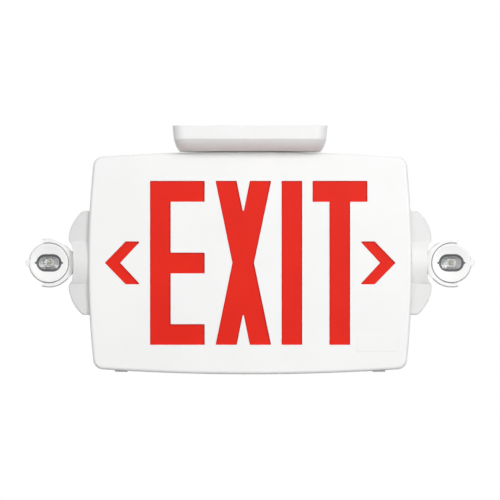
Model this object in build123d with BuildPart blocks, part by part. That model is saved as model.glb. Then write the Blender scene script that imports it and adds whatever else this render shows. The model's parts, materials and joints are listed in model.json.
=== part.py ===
from build123d import *
import os

os.makedirs("parts", exist_ok=True)

# Emergency exit light: an internally lit exit sign with two adjustable lamp heads,
# hung under a ceiling canopy. Millimetres. The origin is the centre of the canopy's
# top face, +Z is up, the sign's face looks towards -Y and +X is the viewer's right.

# Clearances
gap = 0.3
touch = 0.05
running = 0.06

# Lengths of cutting tools: a drill longer than any wall, a block larger than a lamp
drill = 20.0
cut = 60.0

# Sign housing: outline bowed outwards on all four sides
centre_z = -128.0
half_width = 151.5
half_height = 104.2
side_bow = 5.6
top_bow = 5.2
corner_r = 9.5
front_y = -23.0
back_y = 23.0
seam_y = -12.0
wall = 2.5
face_wall = 2.2
face_thickness = 2.4
face_edge_r = 3.0
lip_depth = 4.0
lip_wall = 1.6
lip_inset = face_wall + gap
back_thickness = 2.2

# Snap hooks of the front face, and its two release tabs
hook_x = half_width - 30.9
hook_width = 12.0
hook_wall = 1.4
hook_inset = lip_inset + lip_wall + gap
barb = 1.3
barb_length = 2.0
hook_end_y = seam_y + lip_depth + gap + barb_length
tab_proud = 1.2
tab_length = 3.0

# Light chamber between the front face and the electronics
diffuser_thickness = 1.5
diffuser_front_y = front_y + face_thickness + gap
diffuser_back_y = diffuser_front_y + diffuser_thickness
diffuser_inset = 8.0
chamber_depth = 8.0
panel_thickness = 1.5
panel_front_y = diffuser_back_y + gap + chamber_depth
panel_back_y = panel_front_y + panel_thickness
panel_inset = 6.5
rim_inset = 14.0
rim_wall = 1.5

# Screws: head radius, head height, shank radius
head_r = 2.9
head_h = 1.9
shank_r = 1.45
pilot_r = shank_r + touch

# Canopy and the parts that hang the sign from it
canopy_width = 144.8
canopy_depth = 118.0
canopy_corner = 11.0
canopy_draft = 1.2
canopy_wall_height = 12.3
canopy_side_taper = 5.0
canopy_front_taper = 16.0
canopy_bottom_z = centre_z + half_height + gap
canopy_wall = 2.2
nipple_r = 6.6
nipple_bore_r = 4.6
nipple_top_z = -12.5
nut_flats = 19.0
nut_height = 5.0
washer_thickness = 1.0
strap_length = canopy_depth - 12.0
strap_width = 20.0
strap_thickness = 1.8
box_screw_spacing = 88.9
canopy_screw_y = 34.0
canopy_screw_r = 2.0
canopy_screw_head_r = 4.0

# Lamp heads: the two are mirror images, the right one is drawn
lamp_x = half_width + 37.0
lamp_y = -1.0
ball_r = 19.3
yoke_inner_r = 20.4
yoke_outer_r = 23.1
yoke_shift = 0.35
yoke_half_width = 7.0
yoke_reach = 107.0
pin_r = 2.0
collar_r = 10.75
collar_length = 1.9
shoulder_x = lamp_x - 18.1
shoulder_half = 14.2
neck_r = 7.5
neck_bore_r = 5.0
neck_end_x = half_width + 1.5

# Bracket that carries a lamp head; its outward distances start at the housing's side
barrel_half_height = 19.0
barrel_root_half = 19.6
barrel_tip_half = 14.6
wing_root_half = 17.4
wing_tip_half = 9.4
shoulder_proud = 1.6
wing_height = 48.6
wing_corner_r = 3.5
wing_tip_r = 1.5
wing_edge_r = 1.5
wing_top_out = 5.1
wing_tip_out = 18.3
wing_tip_z = 24.5
step_z = 21.0
scoop_z = 16.9
barrel_end_out = 15.8
barrel_dish_out = 13.7
bracket_wall = 2.2
end_wall_out = 10.0
end_wall_x = half_width + end_wall_out
collar_seat_x = half_width + 13.2
bracket_screw_z = 36.0


def facing(x, y, z):
    """A plane that looks at the viewer; its height counts from the sign's centre."""
    return Plane(origin=(x, y, centre_z + z), x_dir=(1, 0, 0), z_dir=(0, -1, 0))


def outward(x, y, z):
    """A plane that looks to the viewer's right; height from the sign's centre."""
    return Plane(origin=(x, y, centre_z + z), x_dir=(0, 1, 0), z_dir=(1, 0, 0))


def backward(x, y, z):
    """A plane that looks away from the viewer; height from the sign's centre."""
    return Plane(origin=(x, y, centre_z + z), x_dir=(1, 0, 0), z_dir=(0, 1, 0))


def level(x, y, z):
    """A plane that looks up; its height counts from the ceiling."""
    return Plane(origin=(x, y, z), x_dir=(1, 0, 0), z_dir=(0, 0, 1))


def rod(plane, radius, length, mode=Mode.ADD):
    """A round bar, or a round hole, that stands on a plane."""
    with BuildSketch(plane) as end:
        Circle(radius)
    extrude(end.sketch, amount=length, mode=mode)


def tube(plane, radius, bore, length):
    """A round tube that stands on a plane."""
    with BuildSketch(plane) as end:
        Circle(radius)
        Circle(bore, mode=Mode.SUBTRACT)
    extrude(end.sketch, amount=length)


def block(plane, width, height, length, mode=Mode.ADD):
    """A straight block that stands on a plane."""
    with BuildSketch(plane) as end:
        Rectangle(width, height)
    extrude(end.sketch, amount=length, mode=mode)


def bowed_outline(inset):
    """The sign's outline, each side an arc, moved inwards by the inset."""
    w = half_width - inset
    h = half_height - inset
    corner_x = w - side_bow
    corner_z = h - top_bow
    with BuildSketch(mode=Mode.PRIVATE) as outline:
        with BuildLine():
            ThreePointArc((-corner_x, corner_z), (0, h), (corner_x, corner_z))
            ThreePointArc((corner_x, corner_z), (w, 0), (corner_x, -corner_z))
            ThreePointArc((corner_x, -corner_z), (0, -h), (-corner_x, -corner_z))
            ThreePointArc((-corner_x, -corner_z), (-w, 0), (-corner_x, corner_z))
        make_face()
        fillet(outline.vertices(), max(corner_r - inset, 2.0))
    return outline.sketch


def bowed_slab(y_back, y_front, inset, mode=Mode.ADD):
    """The bowed outline extruded forwards from one depth to another."""
    with BuildSketch(facing(0, y_back, 0)) as slab:
        add(bowed_outline(inset))
    extrude(slab.sketch, amount=y_back - y_front, mode=mode)


def bowed_ring(y_back, y_front, outer_inset, inner_inset):
    """A wall that runs round the bowed outline between two insets."""
    with BuildSketch(facing(0, y_back, 0)) as ring:
        add(bowed_outline(outer_inset))
        add(bowed_outline(inner_inset), mode=Mode.SUBTRACT)
    extrude(ring.sketch, amount=y_back - y_front)


def screw(plane, length):
    """A cross-head screw; the plane is under its head and looks along the shank."""
    rod(plane, shank_r, length)
    rod(plane, head_r, -head_h)
    block(plane.offset(-head_h), 0.9, 3.2, 1.1, mode=Mode.SUBTRACT)
    block(plane.offset(-head_h), 3.2, 0.9, 1.1, mode=Mode.SUBTRACT)


def keep(piece, name):
    """Names a finished piece and writes it to its own file."""
    piece.part.label = name
    export_step(piece.part, f"parts/{name}.step")


# Housing frame: the moulded ring between the front face and the back plate
boss_x = half_width - 16.0
boss_z = half_height - 15.7
boss_r = 3.6
boss_back_y = 13.5
gusset = 1.6
gusset_length = 10.0
ledge_depth = 2.4
ledge_width = 3.0
ledge_front_y = back_y - back_thickness - gap - ledge_depth
back_rim_depth = 4.0
back_rim_wall = 1.6
rib_back_y = ledge_front_y - back_rim_depth - gap
inner_top_z = centre_z + half_height - wall
pad_thickness = 2.0
pad_width = 44.0
pad_depth = 24.0
wire_hole_r = 7.0
button_x = 60.0
button_y = 1.0
button_r = 4.0
led_x = 75.0
led_r = 2.5
rib_pitch = half_width / 4.2
with BuildPart() as housing_frame:
    bowed_ring(back_y, seam_y, 0, wall)
    bowed_ring(seam_y + lip_depth, seam_y, wall / 2, lip_inset + lip_wall)
    bowed_ring(seam_y, seam_y - lip_depth, lip_inset, lip_inset + lip_wall)
    bowed_ring(ledge_front_y + ledge_depth, ledge_front_y, wall / 2, wall + ledge_width)
    for x in (-boss_x, boss_x):
        for z in (-boss_z, boss_z):
            out_x = 1 if x > 0 else -1
            out_z = 1 if z > 0 else -1
            depth = boss_back_y - panel_back_y - touch
            rod(facing(x, boss_back_y, z), boss_r, depth)
            block(facing(x + out_x * gusset_length / 2, boss_back_y, z), gusset_length, gusset, depth)
            block(facing(x, boss_back_y, z + out_z * gusset_length / 2), gusset, gusset_length, depth)
            rod(facing(x, boss_back_y - 6, z), pilot_r, depth, mode=Mode.SUBTRACT)
    for x in range(-3, 4):
        for z in (-1, 1):
            if x != 0 and (x, z) != (2, -1):
                rib = facing(x * rib_pitch, rib_back_y, z * (half_height - wall - top_bow / 2))
                block(rib, gusset, top_bow, rib_back_y - seam_y - lip_depth)
    block(level(0, 0, inner_top_z - pad_thickness), pad_width, pad_depth, pad_thickness + wall / 2)
    rod(level(0, 0, inner_top_z - drill / 2), nipple_r + gap, drill, mode=Mode.SUBTRACT)
    rod(level(button_x, button_y, centre_z - half_height - 5), button_r + gap, drill, mode=Mode.SUBTRACT)
    rod(level(led_x, button_y, centre_z - half_height - 5), led_r + touch, drill, mode=Mode.SUBTRACT)
    for side in (-1, 1):
        rod(outward(side * half_width - drill / 2, lamp_y, 0), wire_hole_r, drill, mode=Mode.SUBTRACT)
        for z in (-bracket_screw_z, bracket_screw_z):
            rod(outward(side * half_width - drill / 2, lamp_y, z), pilot_r + 2 * touch, drill, mode=Mode.SUBTRACT)
keep(housing_frame, "housing_frame")

# Front face: shallow cover with a rounded front edge, snap hooks and locating pegs
peg_r = 1.5
peg_x = half_width - 51.5
peg_z = half_height - 12.2
side_peg_x = half_width - 15.5
side_peg_z = half_height / 2
peg_places = [(x, z) for x in (-peg_x, 0, peg_x) for z in (-peg_z, peg_z)]
peg_places += [(x, z) for x in (-side_peg_x, side_peg_x) for z in (-side_peg_z, side_peg_z)]
hook_window = 20.0
with BuildPart() as hooks:
    bowed_ring(hook_end_y, front_y + face_thickness - touch, hook_inset, hook_inset + hook_wall)
    bowed_ring(hook_end_y, hook_end_y - barb_length, hook_inset - barb, hook_inset)
    with BuildSketch(facing(0, back_y, 0)) as windows:
        with GridLocations(2 * hook_x, 2 * half_height, 2, 2):
            Rectangle(hook_width, hook_window)
        with GridLocations(2 * half_width, 0, 2, 1):
            Rectangle(hook_window, hook_width)
    extrude(amount=back_y - front_y, mode=Mode.INTERSECT)
with BuildPart() as front_face:
    bowed_slab(seam_y - gap, front_y, 0)
    fillet(front_face.faces().sort_by(Axis.Y)[0].edges(), face_edge_r)
    bowed_slab(seam_y, front_y + face_thickness, face_wall, mode=Mode.SUBTRACT)
    for x in (-hook_x, hook_x):
        tab_z = -half_height + top_bow * (x / half_width) ** 2 - tab_proud + wall / 2
        block(facing(x, seam_y - gap, tab_z), hook_width, wall, tab_length)
    add(hooks.part)
    for x, z in peg_places:
        rod(facing(x, diffuser_back_y + gap / 2, z), peg_r, diffuser_thickness + 2 * gap)
keep(front_face, "front_face")

# Back plate: junction-box knock-outs, keyholes and a stiffening rim
keyhole_x = half_width - 51.5
keyhole_z = half_height - 44.2
with BuildPart() as back_plate:
    bowed_slab(back_y - touch, back_y - touch - back_thickness, wall + gap)
    rim_outer = wall + ledge_width + gap
    bowed_ring(back_y - back_thickness, ledge_front_y - back_rim_depth, rim_outer, rim_outer + back_rim_wall)
    for x in (-keyhole_x, keyhole_x):
        with BuildSketch(facing(x, back_y + 5, keyhole_z)) as keyhole:
            Circle(4.2)
            with Locations((0, 6)):
                SlotOverall(14, 4.6, rotation=90)
        extrude(keyhole.sketch, amount=12, mode=Mode.SUBTRACT)
    with BuildSketch(facing(0, back_y + 5, 0)) as box_holes:
        Circle(11)
        with PolarLocations(box_screw_spacing / 2, 4):
            SlotOverall(9, 4.6)
    extrude(box_holes.sketch, amount=12, mode=Mode.SUBTRACT)
    with BuildSketch(facing(0, back_y - touch, 0)) as knock_out:
        Circle(57)
        Circle(56.2, mode=Mode.SUBTRACT)
    extrude(knock_out.sketch, amount=1.2, mode=Mode.SUBTRACT)
keep(back_plate, "back_plate")

# Red diffuser: tinted sheet behind the face, drilled for the pegs
with BuildPart() as red_diffuser:
    bowed_slab(diffuser_back_y, diffuser_front_y, diffuser_inset)
    for x, z in peg_places:
        rod(facing(x, diffuser_back_y + 1, z), peg_r + touch, diffuser_thickness + 2, mode=Mode.SUBTRACT)
keep(red_diffuser, "red_diffuser")

# Reflector panel: white light box in front, posts for the electronics behind
post_r = 3.2
post_height = 5.0
board_x = 66.0
board_z = -46.0
board_width = 112.0
board_height = 80.0
board_thickness = 1.6
board_hole_inset = 5.0
board_front_y = panel_back_y + post_height
board_back_y = board_front_y + board_thickness
board_posts = [
    (board_x + sx * (board_width / 2 - board_hole_inset), board_z + sz * (board_height / 2 - board_hole_inset))
    for sx in (-1, 1)
    for sz in (-1, 1)
]
cell_r = 11.2
cell_length = 42.5
cell_count = 3
cell_pitch = 2 * cell_r + gap
battery_x = -72.0
battery_z = -36.0
holder_wall = 1.6
holder_screw_x = cell_count * cell_pitch / 2 + 7.0
strip_length = 2 * half_width - 71.0
strip_width = 12.0
strip_thickness = 1.6
strip_z = 42.0
strip_screw_x = strip_length / 2 - 5.0
with BuildPart() as reflector_panel:
    bowed_slab(panel_back_y, panel_front_y, panel_inset)
    bowed_ring(panel_back_y, diffuser_back_y + gap, rim_inset, rim_inset + rim_wall)
    notch_depth = rim_inset - panel_inset - 0.4
    notch_z = half_height - panel_inset
    block(facing(0, panel_back_y + 5, notch_z), 34, 2 * notch_depth, 10, mode=Mode.SUBTRACT)
    for x, z in board_posts:
        rod(facing(x, panel_back_y + post_height, z), post_r, post_height)
        rod(facing(x, panel_back_y + post_height, z), pilot_r, post_height - 0.5, mode=Mode.SUBTRACT)
    for side in (-1, 1):
        x = battery_x + side * holder_screw_x
        rod(facing(x, panel_back_y + post_height, battery_z), post_r, post_height)
        rod(facing(x, panel_back_y + post_height, battery_z), pilot_r, post_height - 0.5, mode=Mode.SUBTRACT)
    for x in (-boss_x, boss_x):
        for z in (-boss_z, boss_z):
            rod(facing(x, panel_back_y + 1, z), shank_r + gap, panel_thickness + 2, mode=Mode.SUBTRACT)
    for x in (-strip_screw_x, strip_screw_x):
        for z in (-strip_z, strip_z):
            rod(facing(x, panel_back_y + 1, z), pilot_r, panel_thickness + 2, mode=Mode.SUBTRACT)
keep(reflector_panel, "reflector_panel")

# Panel screws: four at the corners of the reflector panel
panel_screw_length = 9.0
with BuildPart() as panel_screws:
    for x in (-boss_x, boss_x):
        for z in (-boss_z, boss_z):
            screw(backward(x, panel_front_y - touch, z), panel_screw_length)
keep(panel_screws, "panel_screws")

# Light strips: two boards across the light chamber, with their chips
chip_width = 3.5
chip_height = 2.8
chip_depth = 1.2
chip_count = 12
chip_pitch = 18.5
with BuildPart() as light_strips:
    for z in (-strip_z, strip_z):
        block(facing(0, panel_front_y - touch, z), strip_length, strip_width, strip_thickness)
        for x in (-strip_screw_x, strip_screw_x):
            rod(facing(x, panel_front_y + 1, z), shank_r + gap, strip_thickness + 3, mode=Mode.SUBTRACT)
keep(light_strips, "light_strips")

with BuildPart() as light_strip_chips:
    for z in (-strip_z, strip_z):
        with BuildSketch(facing(0, panel_front_y - strip_thickness - 2 * touch, z)) as chips:
            with GridLocations(chip_pitch, 0, chip_count, 1):
                RectangleRounded(chip_width, chip_height, 0.5)
        extrude(chips.sketch, amount=chip_depth)
keep(light_strip_chips, "light_strip_chips")

with BuildPart() as strip_screws:
    for x in (-strip_screw_x, strip_screw_x):
        for z in (-strip_z, strip_z):
            screw(backward(x, panel_front_y - strip_thickness - 2 * touch, z), 4.5)
keep(strip_screws, "strip_screws")

# Main circuit board and what stands on it
board_left_x = board_x - board_width / 2
board_right_x = board_x + board_width / 2
board_top_z = board_z + board_height / 2
transformer_x = board_left_x + 30.0
transformer_z = board_top_z - 36.0
core_width = 35.0
core_height = 29.0
core_depth = 13.0
window_width = 7.0
window_height = 17.0
coil_overhang = 3.0
with BuildPart() as main_circuit_board:
    block(facing(board_x, board_back_y, board_z), board_width, board_height, board_thickness)
    for x, z in board_posts:
        rod(facing(x, board_back_y + 1, z), shank_r + gap, board_thickness + 2, mode=Mode.SUBTRACT)
keep(main_circuit_board, "main_circuit_board")

board_face = board_back_y + touch
with BuildPart() as transformer_core:
    core_back_y = board_face + coil_overhang + gap + core_depth
    block(facing(transformer_x, core_back_y, transformer_z), core_width, core_height, core_depth)
    for side in (-1, 1):
        window_x = transformer_x + side * (core_width / 4)
        window = facing(window_x, core_back_y + 1, transformer_z)
        block(window, window_width, window_height, core_depth + 2, mode=Mode.SUBTRACT)
keep(transformer_core, "transformer_core")

leg_width = core_width / 2 - window_width
coil_height = window_height - 2 * gap
with BuildPart() as transformer_winding:
    coil_foot_z = centre_z + transformer_z - coil_height / 2
    with BuildSketch(level(transformer_x, core_back_y - core_depth / 2, coil_foot_z)) as coil:
        RectangleRounded(leg_width + 2 * window_width - 2 * gap, core_depth + 2 * coil_overhang, 1.5)
        Rectangle(leg_width + 2 * gap, core_depth + 2 * gap, mode=Mode.SUBTRACT)
    extrude(coil.sketch, amount=coil_height)
keep(transformer_winding, "transformer_winding")

capacitor_z = board_top_z - 16.0
capacitor_sizes = [(52.0, 5.0, 16.0), (38.0, 5.0, 16.0), (25.0, 4.0, 12.0), (15.0, 3.2, 11.0)]
with BuildPart() as capacitors:
    for from_right, radius, height in capacitor_sizes:
        foot = backward(board_right_x - from_right, board_face, capacitor_z)
        rod(foot, radius, height)
    fillet(capacitors.faces().filter_by(GeomType.PLANE).filter_by(Axis.Y).edges(), 0.5)
keep(capacitors, "capacitors")

relay_x = board_right_x - 20.0
relay_z = board_top_z - 46.0
relay_width = 15.5
relay_height = 19.5
relay_depth = 15.5
with BuildPart() as relay:
    block(facing(relay_x, board_face + relay_depth, relay_z), relay_width, relay_height, relay_depth)
    fillet(relay.edges().filter_by(Axis.Y), 0.8)
keep(relay, "relay")

terminal_pitch = 7.5
terminal_count = 4
terminal_width = 10.0
terminal_height = 12.0
terminal_x = board_left_x + 30.0
terminal_z = board_top_z - 7.0
with BuildPart() as terminal_block:
    terminal_top = facing(terminal_x, board_face + terminal_height, terminal_z)
    block(terminal_top, terminal_pitch * terminal_count, terminal_width, terminal_height)
    with BuildSketch(terminal_top) as driver_holes:
        with GridLocations(terminal_pitch, 0, terminal_count, 1):
            Circle(2.2)
    extrude(driver_holes.sketch, amount=8, mode=Mode.SUBTRACT)
    port_z = centre_z + terminal_z + terminal_width / 2
    with BuildSketch(level(terminal_x, board_face + terminal_height / 3, port_z)) as wire_ports:
        with GridLocations(terminal_pitch, 0, terminal_count, 1):
            Rectangle(4.6, 4.6)
    extrude(wire_ports.sketch, amount=-6, mode=Mode.SUBTRACT)
keep(terminal_block, "terminal_block")

post_screw_length = 5.5
with BuildPart() as board_screws:
    for x, z in board_posts:
        screw(facing(x, board_back_y + touch, z), post_screw_length)
keep(board_screws, "board_screws")

# Battery: three cells side by side under a moulded holder
cell_y = panel_back_y + gap + cell_r
with BuildPart() as battery_cells:
    for k in range(cell_count):
        x = battery_x + (k - (cell_count - 1) / 2) * cell_pitch
        foot = level(x, cell_y, centre_z + battery_z - cell_length / 2)
        rod(foot, cell_r, cell_length)
        rod(foot.offset(cell_length), 3.5, 1.2)
    fillet(battery_cells.edges().filter_by(GeomType.CIRCLE).filter_by(lambda e: e.radius > 5), 0.8)
keep(battery_cells, "battery_cells")

holder_width = 24.0
with BuildPart() as battery_holder:
    half_span = cell_count * cell_pitch / 2
    holder_back_y = cell_y + cell_r + gap + holder_wall
    foot_y = panel_back_y + post_height + touch
    with BuildSketch(level(battery_x, 0, centre_z + battery_z - holder_width / 2)) as strap_shape:
        with BuildLine():
            Polyline(
                (-holder_screw_x - 4, foot_y),
                (-half_span - gap, foot_y),
                (-half_span - gap, holder_back_y - holder_wall),
                (half_span + gap, holder_back_y - holder_wall),
                (half_span + gap, foot_y),
                (holder_screw_x + 4, foot_y),
                (holder_screw_x + 4, foot_y + holder_wall),
                (half_span + gap + holder_wall, foot_y + holder_wall),
                (half_span + gap + holder_wall, holder_back_y),
                (-half_span - gap - holder_wall, holder_back_y),
                (-half_span - gap - holder_wall, foot_y + holder_wall),
                (-holder_screw_x - 4, foot_y + holder_wall),
                close=True,
            )
        make_face()
    extrude(strap_shape.sketch, amount=holder_width)
    for side in (-1, 1):
        foot_hole = facing(battery_x + side * holder_screw_x, foot_y + holder_wall + drill / 2, battery_z)
        rod(foot_hole, shank_r + gap, drill, mode=Mode.SUBTRACT)
keep(battery_holder, "battery_holder")

with BuildPart() as holder_screws:
    for side in (-1, 1):
        x = battery_x + side * holder_screw_x
        screw(facing(x, foot_y + holder_wall + touch, battery_z), post_screw_length)
keep(holder_screws, "holder_screws")

# Test button, its switch and the charge lamp, at the bottom of the housing
bottom_z = centre_z - half_height
button_travel = 1.0
button_flange_r = 5.6
button_tip_z = bottom_z + 1.2
button_length = 12.0
flange_z = bottom_z + 1.0 + wall + 2 * gap
board_edge_z = centre_z + board_z - board_height / 2
switch_top_z = board_edge_z + 8.0
plunger_z = button_tip_z + button_length + 2.0 * touch
switch_body_z = plunger_z + 3.0
with BuildPart() as test_button:
    rod(level(button_x, button_y, button_tip_z), button_r, button_length)
    rod(level(button_x, button_y, flange_z), button_flange_r, 1.4)
    fillet(test_button.edges().filter_by(GeomType.CIRCLE).group_by(Axis.Z)[0], 0.6)
keep(test_button, "test_button")

with BuildPart() as test_switch_plunger:
    rod(level(button_x, button_y, plunger_z), 1.7, switch_body_z - plunger_z + 2.0)
keep(test_switch_plunger, "test_switch_plunger")

with BuildPart() as test_switch:
    body_depth = 2 * (button_y - board_face)
    block(level(button_x, button_y, switch_body_z), 7.0, body_depth, switch_top_z - switch_body_z)
    rod(level(button_x, button_y, switch_body_z), 1.7 + running, 2.0 + button_travel + gap, mode=Mode.SUBTRACT)
keep(test_switch, "test_switch")

with BuildPart() as status_light:
    status_tip_z = bottom_z + 1.6
    rod(level(led_x, button_y, status_tip_z + led_r), led_r, 6.0)
    with Locations((led_x, button_y, status_tip_z + led_r)):
        Sphere(led_r)
    rod(level(led_x, button_y, status_tip_z + led_r + 5.0), led_r + 0.4, 1.0)
    for side in (-1, 1):
        lead = level(led_x + side * 1.27, button_y, status_tip_z + led_r + 6.0)
        block(lead, 0.5, 0.5, board_edge_z + 4.0 - lead.origin.Z)
keep(status_light, "status_light")

# Canopy: hollow, open to the ceiling, its lower walls curved inwards
def canopy_section(z, share, inset):
    """One level of the canopy: a rounded rectangle, drawn in by a share of the two tapers."""
    draft = 0 if z == 0 else canopy_draft
    width = canopy_width - 2 * (draft + share * canopy_side_taper + inset)
    depth = canopy_depth - 2 * (draft + share * canopy_front_taper + inset)
    with BuildSketch(Plane.XY.offset(z), mode=Mode.PRIVATE) as section:
        RectangleRounded(width, depth, canopy_corner - inset)
    return section.sketch


def canopy_block(inset, bottom_z, mode):
    """The canopy's form: an upright wall above, a wall curved inwards below."""
    knee = canopy_section(-canopy_wall_height, 0, inset)
    middle = canopy_section((bottom_z - canopy_wall_height) / 2, 1 / 3, inset)
    foot = canopy_section(bottom_z, 1, inset)
    loft([canopy_section(0, 0, inset), knee], ruled=True, mode=mode)
    loft([knee, middle, foot], mode=mode)


strap_boss_r = 5.0
with BuildPart() as canopy:
    canopy_block(0, canopy_bottom_z, Mode.ADD)
    fillet(canopy.faces().sort_by(Axis.Z)[0].edges(), 1.0)
    canopy_block(canopy_wall, canopy_bottom_z + canopy_wall, Mode.SUBTRACT)
    rod(level(0, 0, canopy_bottom_z), nipple_r + 6, canopy_wall + 1.5)
    for y in (-canopy_screw_y, canopy_screw_y):
        rod(level(0, y, canopy_bottom_z), strap_boss_r, -canopy_bottom_z - strap_thickness - touch)
    rod(level(0, 0, canopy_bottom_z - 5), nipple_r + touch, drill, mode=Mode.SUBTRACT)
    for y in (-canopy_screw_y, canopy_screw_y):
        rod(level(0, y, canopy_bottom_z - 1), canopy_screw_r + gap, 2 * drill, mode=Mode.SUBTRACT)
        with BuildSketch(level(0, y, canopy_bottom_z)) as sink_wide:
            Circle(canopy_screw_head_r + gap)
        extrude(sink_wide.sketch, amount=canopy_screw_head_r - canopy_screw_r, taper=45, mode=Mode.SUBTRACT)
keep(canopy, "canopy")

with BuildPart() as mounting_strap:
    with BuildSketch(level(0, 0, -strap_thickness)) as strap:
        RectangleRounded(strap_width, strap_length, 4)
        with PolarLocations(box_screw_spacing / 2, 2, start_angle=90):
            SlotOverall(12, 4.8, mode=Mode.SUBTRACT)
        with Locations((0, -canopy_screw_y), (0, canopy_screw_y)):
            Circle(canopy_screw_r + touch, mode=Mode.SUBTRACT)
    extrude(strap.sketch, amount=strap_thickness)
keep(mounting_strap, "mounting_strap")

with BuildPart() as canopy_screws:
    for y in (-canopy_screw_y, canopy_screw_y):
        rod(level(0, y, canopy_bottom_z + gap), canopy_screw_r, -canopy_bottom_z - 2 * gap)
        with BuildSketch(level(0, y, canopy_bottom_z + gap)) as head:
            Circle(canopy_screw_head_r)
        extrude(head.sketch, amount=canopy_screw_head_r - canopy_screw_r, taper=45)
        block(level(0, y, canopy_bottom_z + gap), 4.4, 1.0, 1.0, mode=Mode.SUBTRACT)
        block(level(0, y, canopy_bottom_z + gap), 1.0, 4.4, 1.0, mode=Mode.SUBTRACT)
keep(canopy_screws, "canopy_screws")

pad_z = inner_top_z - pad_thickness
lower_nut_z = pad_z - washer_thickness - nut_height - 2 * touch
floor_z = canopy_bottom_z + canopy_wall + 1.5
nipple_end_z = lower_nut_z - 2.0
with BuildPart() as threaded_nipple:
    tube(level(0, 0, nipple_end_z), nipple_r, nipple_bore_r, nipple_top_z - nipple_end_z)
    chamfer(threaded_nipple.edges().filter_by(lambda e: e.radius > nipple_r - 0.1 if e.geom_type == GeomType.CIRCLE else False), 0.6)
keep(threaded_nipple, "threaded_nipple")

with BuildPart() as nipple_nuts:
    for z in (lower_nut_z, floor_z + washer_thickness + 2 * touch):
        with BuildSketch(level(0, 0, z)) as nut:
            RegularPolygon(nut_flats / 2, 6, major_radius=False)
            Circle(nipple_r + touch, mode=Mode.SUBTRACT)
        extrude(nut.sketch, amount=nut_height)
keep(nipple_nuts, "nipple_nuts")

with BuildPart() as nipple_washers:
    for z in (pad_z - washer_thickness - touch, floor_z + touch):
        tube(level(0, 0, z), nut_flats / 2, nipple_r + gap / 2, washer_thickness)
keep(nipple_washers, "nipple_washers")

# Lamp bracket: hollow trapezoid wings with a crowned barrel across their middle, drawn outwards from
# the middle plane and then moved out to the housing's side
bracket_root_out = -side_bow
wing_bulge_out = 13.7
wing_bulge_z = 38.4
bracket_boss_r = 4.2
bracket_boss_length = 13.0
bracket_screw_length = 8.5


def bracket_outline():
    """The bracket seen from the front, its end scooped for the lamp head."""
    with BuildSketch(mode=Mode.PRIVATE) as outline:
        with BuildLine():
            Line((bracket_root_out, -wing_height), (bracket_root_out, wing_height))
            Line((bracket_root_out, wing_height), (wing_top_out, wing_height))
            ThreePointArc((wing_top_out, wing_height), (wing_bulge_out, wing_bulge_z), (wing_tip_out, wing_tip_z))
            Line((wing_tip_out, wing_tip_z), (wing_tip_out, step_z))
            Line((wing_tip_out, step_z), (barrel_end_out, scoop_z))
            ThreePointArc((barrel_end_out, scoop_z), (barrel_dish_out, 0), (barrel_end_out, -scoop_z))
            Line((barrel_end_out, -scoop_z), (wing_tip_out, -step_z))
            Line((wing_tip_out, -step_z), (wing_tip_out, -wing_tip_z))
            ThreePointArc((wing_tip_out, -wing_tip_z), (wing_bulge_out, -wing_bulge_z), (wing_top_out, -wing_height))
            Line((wing_top_out, -wing_height), (bracket_root_out, -wing_height))
        make_face()
        fillet(outline.vertices().filter_by_position(Axis.X, wing_top_out - 0.1, wing_top_out + 0.1), wing_corner_r)
        fillet(outline.vertices().filter_by_position(Axis.X, wing_tip_out - 0.1, wing_tip_out + 0.1), wing_tip_r)
    return outline.sketch


def taper(out, root, tip):
    """A half thickness that shrinks evenly from the housing out to the bracket's tip."""
    return root + (tip - root) * (out - bracket_root_out) / (wing_tip_out - bracket_root_out)


def barrel_section(out, inset):
    """The barrel cut across at one distance: crowned in front and behind, square above and below."""
    edge = taper(out, wing_root_half, wing_tip_half + shoulder_proud) - inset
    crown = taper(out, barrel_root_half, barrel_tip_half) - inset
    height = barrel_half_height - inset / 2
    with BuildSketch(outward(out, lamp_y, 0), mode=Mode.PRIVATE) as section:
        with BuildLine():
            ThreePointArc((-edge, -height), (-crown, 0), (-edge, height))
            Line((-edge, height), (edge, height))
            ThreePointArc((edge, height), (crown, 0), (edge, -height))
            Line((edge, -height), (-edge, -height))
        make_face()
    return section.sketch


def wedge(inset, root_out, mode):
    """A slab seen from above, thick at the housing and thin at the tip."""
    root = taper(root_out, wing_root_half, wing_tip_half) - inset
    tip = wing_tip_half - inset
    with BuildSketch(level(0, lamp_y, centre_z - wing_height)) as slab:
        with BuildLine():
            Polyline((root_out, -root), (wing_tip_out, -tip), (wing_tip_out, tip), (root_out, root), close=True)
        make_face()
    extrude(slab.sketch, amount=2 * wing_height, mode=mode)


with BuildPart() as bracket_wings:
    with BuildSketch(facing(0, lamp_y + wing_root_half, 0)) as wing_shape:
        add(bracket_outline())
    extrude(wing_shape.sketch, amount=2 * wing_root_half)
    wedge(0, bracket_root_out, Mode.INTERSECT)
    slopes = bracket_wings.faces().filter_by(lambda f: abs(f.normal_at().Y) > 0.8)
    rims = slopes.edges().filter_by_position(Axis.X, bracket_root_out + 0.5, wing_tip_out + 0.1)
    fillet(rims, wing_edge_r)

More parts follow.
